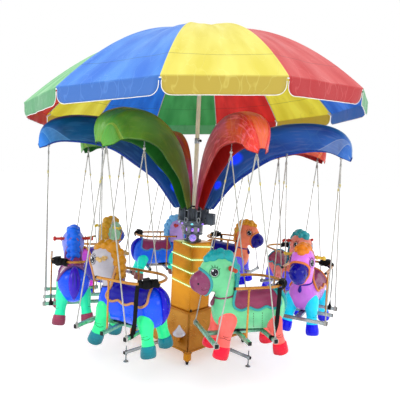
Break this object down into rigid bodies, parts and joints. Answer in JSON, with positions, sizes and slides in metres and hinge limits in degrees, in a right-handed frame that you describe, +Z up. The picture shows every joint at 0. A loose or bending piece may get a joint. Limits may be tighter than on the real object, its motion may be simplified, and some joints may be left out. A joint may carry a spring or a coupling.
{
  "type": "chair swing ride",
  "caption": "Children's swing ride with pony seats hung on ropes from petal arms, turning under a striped umbrella on a square cabinet.",
  "frame": {"origin": "on the floor, on the rotor's axis, at the middle of the cabinet", "axes": "+Z up along the rotor's axis; +X and +Y square to two neighbouring faces of the cabinet, with the pictured corner towards +X and -Y"},
  "size_m": [2.9836, 2.9836, 2.887],
  "materials": {
    "gold_cabinet": "glossy gold-brown coating",
    "outrigger_steel": "satin galvanised",
    "light_strip": "milky silicone light strip, lit white",
    "hub_steel": "satin grey",
    "crystal_lamp": "faceted clear lamp, lit violet",
    "pole_enamel": "satin cream enamel",
    "umbrella_steel": "satin white enamel",
    "canopy_fabric": "coated cloth in red, yellow, blue and green gores with a slight sheen",
    "arm_steel": "satin grey enamel",
    "petal_green": "shiny coated sheet, green",
    "petal_red": "shiny coated sheet, red with a faint orange and violet sheen",
    "petal_blue": "shiny coated sheet, blue",
    "sling_rope": "braided cream rope",
    "seat_frame_steel": "gold enamel guard rail and silver bars",
    "pony_blue": "glossy moulded plastic, blue, with bright painted details",
    "pony_mint": "glossy moulded plastic, mint green, with bright painted details",
    "pony_orchid": "glossy moulded plastic, orchid pink, with bright painted details",
    "pony_salmon": "glossy moulded plastic, salmon, with bright painted details",
    "pony_coral": "glossy moulded plastic, coral, with bright painted details",
    "pony_purple": "glossy moulded plastic, purple, with bright painted details",
    "pony_periwinkle": "glossy moulded plastic, periwinkle blue, with bright painted details"
  },
  "bodies": {
    "base": {"cabinet_box": "gold_cabinet", "outrigger_frame": "outrigger_steel", "cabinet_tower": "gold_cabinet", "light_strip": "light_strip", "drive_neck": "hub_steel", "ball_lamp": "crystal_lamp", "bell_lamp": "crystal_lamp"},
    "rotor": {"hub": "hub_steel", "umbrella_pole": "pole_enamel", "umbrella_frame": "umbrella_steel", "canopy": "canopy_fabric", "arm_1": "arm_steel", "arm_2": "arm_steel", "arm_3": "arm_steel", "arm_4": "arm_steel", "arm_5": "arm_steel", "arm_6": "arm_steel", "arm_7": "arm_steel", "arm_8": "arm_steel", "petal_1": "petal_green", "petal_2": "petal_red", "petal_3": "petal_blue", "petal_4": "petal_red", "petal_5": "petal_green", "petal_6": "petal_red", "petal_7": "petal_green", "petal_8": "petal_blue"},
    "inner_sling_1": {"inner_ropes_1": "sling_rope"},
    "outer_sling_1": {"outer_ropes_1": "sling_rope"},
    "seat_1": {"seat_frame_1": "seat_frame_steel", "pony_1": "pony_blue"},
    "inner_sling_2": {"inner_ropes_2": "sling_rope"},
    "outer_sling_2": {"outer_ropes_2": "sling_rope"},
    "seat_2": {"seat_frame_2": "seat_frame_steel", "pony_2": "pony_mint"},
    "inner_sling_3": {"inner_ropes_3": "sling_rope"},
    "outer_sling_3": {"outer_ropes_3": "sling_rope"},
    "seat_3": {"seat_frame_3": "seat_frame_steel", "pony_3": "pony_orchid"},
    "inner_sling_4": {"inner_ropes_4": "sling_rope"},
    "outer_sling_4": {"outer_ropes_4": "sling_rope"},
    "seat_4": {"seat_frame_4": "seat_frame_steel", "pony_4": "pony_salmon"},
    "inner_sling_5": {"inner_ropes_5": "sling_rope"},
    "outer_sling_5": {"outer_ropes_5": "sling_rope"},
    "seat_5": {"seat_frame_5": "seat_frame_steel", "pony_5": "pony_coral"},
    "inner_sling_6": {"inner_ropes_6": "sling_rope"},
    "outer_sling_6": {"outer_ropes_6": "sling_rope"},
    "seat_6": {"seat_frame_6": "seat_frame_steel", "pony_6": "pony_blue"},
    "inner_sling_7": {"inner_ropes_7": "sling_rope"},
    "outer_sling_7": {"outer_ropes_7": "sling_rope"},
    "seat_7": {"seat_frame_7": "seat_frame_steel", "pony_7": "pony_purple"},
    "inner_sling_8": {"inner_ropes_8": "sling_rope"},
    "outer_sling_8": {"outer_ropes_8": "sling_rope"},
    "seat_8": {"seat_frame_8": "seat_frame_steel", "pony_8": "pony_periwinkle"}
  },
  "joints": [
    {"name": "rotor_spin", "type": "hinge", "parent": "base", "child": "rotor", "pos_m": [0, 0, 1.03], "axis": [0, 0, 1], "continuous": true},
    {"name": "swing_1", "type": "hinge", "parent": "rotor", "child": "inner_sling_1", "pos_m": [0.25788, -0.81938, 1.78], "axis": [-0.9539, -0.3002, 0], "range_deg": [-4, 4]},
    {"name": "seat_level_1", "type": "hinge", "parent": "inner_sling_1", "child": "seat_1", "pos_m": [0.25788, -0.81938, 0.5168], "axis": [-0.9539, -0.3002, 0], "range_deg": [-4, 4]},
    {"name": "outer_swing_1", "type": "hinge", "parent": "rotor", "child": "outer_sling_1", "pos_m": [0.39117, -1.2429, 1.78], "axis": [-0.9539, -0.3002, 0], "range_deg": [-4, 4]},
    {"name": "swing_2", "type": "hinge", "parent": "rotor", "child": "inner_sling_2", "pos_m": [0.76173, -0.39704, 1.78], "axis": [-0.4622, -0.8868, 0], "range_deg": [-4, 4]},
    {"name": "seat_level_2", "type": "hinge", "parent": "inner_sling_2", "child": "seat_2", "pos_m": [0.76173, -0.39704, 0.5168], "axis": [-0.4622, -0.8868, 0], "range_deg": [-4, 4]},
    {"name": "outer_swing_2", "type": "hinge", "parent": "rotor", "child": "outer_sling_2", "pos_m": [1.15546, -0.60226, 1.78], "axis": [-0.4622, -0.8868, 0], "range_deg": [-4, 4]},
    {"name": "swing_3", "type": "hinge", "parent": "rotor", "child": "inner_sling_3", "pos_m": [0.81938, 0.25788, 1.78], "axis": [0.3002, -0.9539, 0], "range_deg": [-4, 4]},
    {"name": "seat_level_3", "type": "hinge", "parent": "inner_sling_3", "child": "seat_3", "pos_m": [0.81938, 0.25788, 0.5168], "axis": [0.3002, -0.9539, 0], "range_deg": [-4, 4]},
    {"name": "outer_swing_3", "type": "hinge", "parent": "rotor", "child": "outer_sling_3", "pos_m": [1.2429, 0.39117, 1.78], "axis": [0.3002, -0.9539, 0], "range_deg": [-4, 4]},
    {"name": "swing_4", "type": "hinge", "parent": "rotor", "child": "inner_sling_4", "pos_m": [0.39704, 0.76173, 1.78], "axis": [0.8868, -0.4622, 0], "range_deg": [-4, 4]},
    {"name": "seat_level_4", "type": "hinge", "parent": "inner_sling_4", "child": "seat_4", "pos_m": [0.39704, 0.76173, 0.5168], "axis": [0.8868, -0.4622, 0], "range_deg": [-4, 4]},
    {"name": "outer_swing_4", "type": "hinge", "parent": "rotor", "child": "outer_sling_4", "pos_m": [0.60226, 1.15546, 1.78], "axis": [0.8868, -0.4622, 0], "range_deg": [-4, 4]},
    {"name": "swing_5", "type": "hinge", "parent": "rotor", "child": "inner_sling_5", "pos_m": [-0.25788, 0.81938, 1.78], "axis": [0.9539, 0.3002, 0], "range_deg": [-4, 4]},
    {"name": "seat_level_5", "type": "hinge", "parent": "inner_sling_5", "child": "seat_5", "pos_m": [-0.25788, 0.81938, 0.5168], "axis": [0.9539, 0.3002, 0], "range_deg": [-4, 4]},
    {"name": "outer_swing_5", "type": "hinge", "parent": "rotor", "child": "outer_sling_5", "pos_m": [-0.39117, 1.2429, 1.78], "axis": [0.9539, 0.3002, 0], "range_deg": [-4, 4]},
    {"name": "swing_6", "type": "hinge", "parent": "rotor", "child": "inner_sling_6", "pos_m": [-0.76173, 0.39704, 1.78], "axis": [0.4622, 0.8868, 0], "range_deg": [-4, 4]},
    {"name": "seat_level_6", "type": "hinge", "parent": "inner_sling_6", "child": "seat_6", "pos_m": [-0.76173, 0.39704, 0.5168], "axis": [0.4622, 0.8868, 0], "range_deg": [-4, 4]},
    {"name": "outer_swing_6", "type": "hinge", "parent": "rotor", "child": "outer_sling_6", "pos_m": [-1.15546, 0.60226, 1.78], "axis": [0.4622, 0.8868, 0], "range_deg": [-4, 4]},
    {"name": "swing_7", "type": "hinge", "parent": "rotor", "child": "inner_sling_7", "pos_m": [-0.81938, -0.25788, 1.78], "axis": [-0.3002, 0.9539, 0], "range_deg": [-4, 4]},
    {"name": "seat_level_7", "type": "hinge", "parent": "inner_sling_7", "child": "seat_7", "pos_m": [-0.81938, -0.25788, 0.5168], "axis": [-0.3002, 0.9539, 0], "range_deg": [-4, 4]},
    {"name": "outer_swing_7", "type": "hinge", "parent": "rotor", "child": "outer_sling_7", "pos_m": [-1.2429, -0.39117, 1.78], "axis": [-0.3002, 0.9539, 0], "range_deg": [-4, 4]},
    {"name": "swing_8", "type": "hinge", "parent": "rotor", "child": "inner_sling_8", "pos_m": [-0.39704, -0.76173, 1.78], "axis": [-0.8868, 0.4622, 0], "range_deg": [-4, 4]},
    {"name": "seat_level_8", "type": "hinge", "parent": "inner_sling_8", "child": "seat_8", "pos_m": [-0.39704, -0.76173, 0.5168], "axis": [-0.8868, 0.4622, 0], "range_deg": [-4, 4]},
    {"name": "outer_swing_8", "type": "hinge", "parent": "rotor", "child": "outer_sling_8", "pos_m": [-0.60226, -1.15546, 1.78], "axis": [-0.8868, 0.4622, 0], "range_deg": [-4, 4]}
  ],
  "couplings": [
    {"joint": "seat_level_1", "follows": "swing_1", "ratio": -1},
    {"joint": "outer_swing_1", "follows": "swing_1", "ratio": 1},
    {"joint": "seat_level_2", "follows": "swing_2", "ratio": -1},
    {"joint": "outer_swing_2", "follows": "swing_2", "ratio": 1},
    {"joint": "seat_level_3", "follows": "swing_3", "ratio": -1},
    {"joint": "outer_swing_3", "follows": "swing_3", "ratio": 1},
    {"joint": "seat_level_4", "follows": "swing_4", "ratio": -1},
    {"joint": "outer_swing_4", "follows": "swing_4", "ratio": 1},
    {"joint": "seat_level_5", "follows": "swing_5", "ratio": -1},
    {"joint": "outer_swing_5", "follows": "swing_5", "ratio": 1},
    {"joint": "seat_level_6", "follows": "swing_6", "ratio": -1},
    {"joint": "outer_swing_6", "follows": "swing_6", "ratio": 1},
    {"joint": "seat_level_7", "follows": "swing_7", "ratio": -1},
    {"joint": "outer_swing_7", "follows": "swing_7", "ratio": 1},
    {"joint": "seat_level_8", "follows": "swing_8", "ratio": -1},
    {"joint": "outer_swing_8", "follows": "swing_8", "ratio": 1}
  ]
}
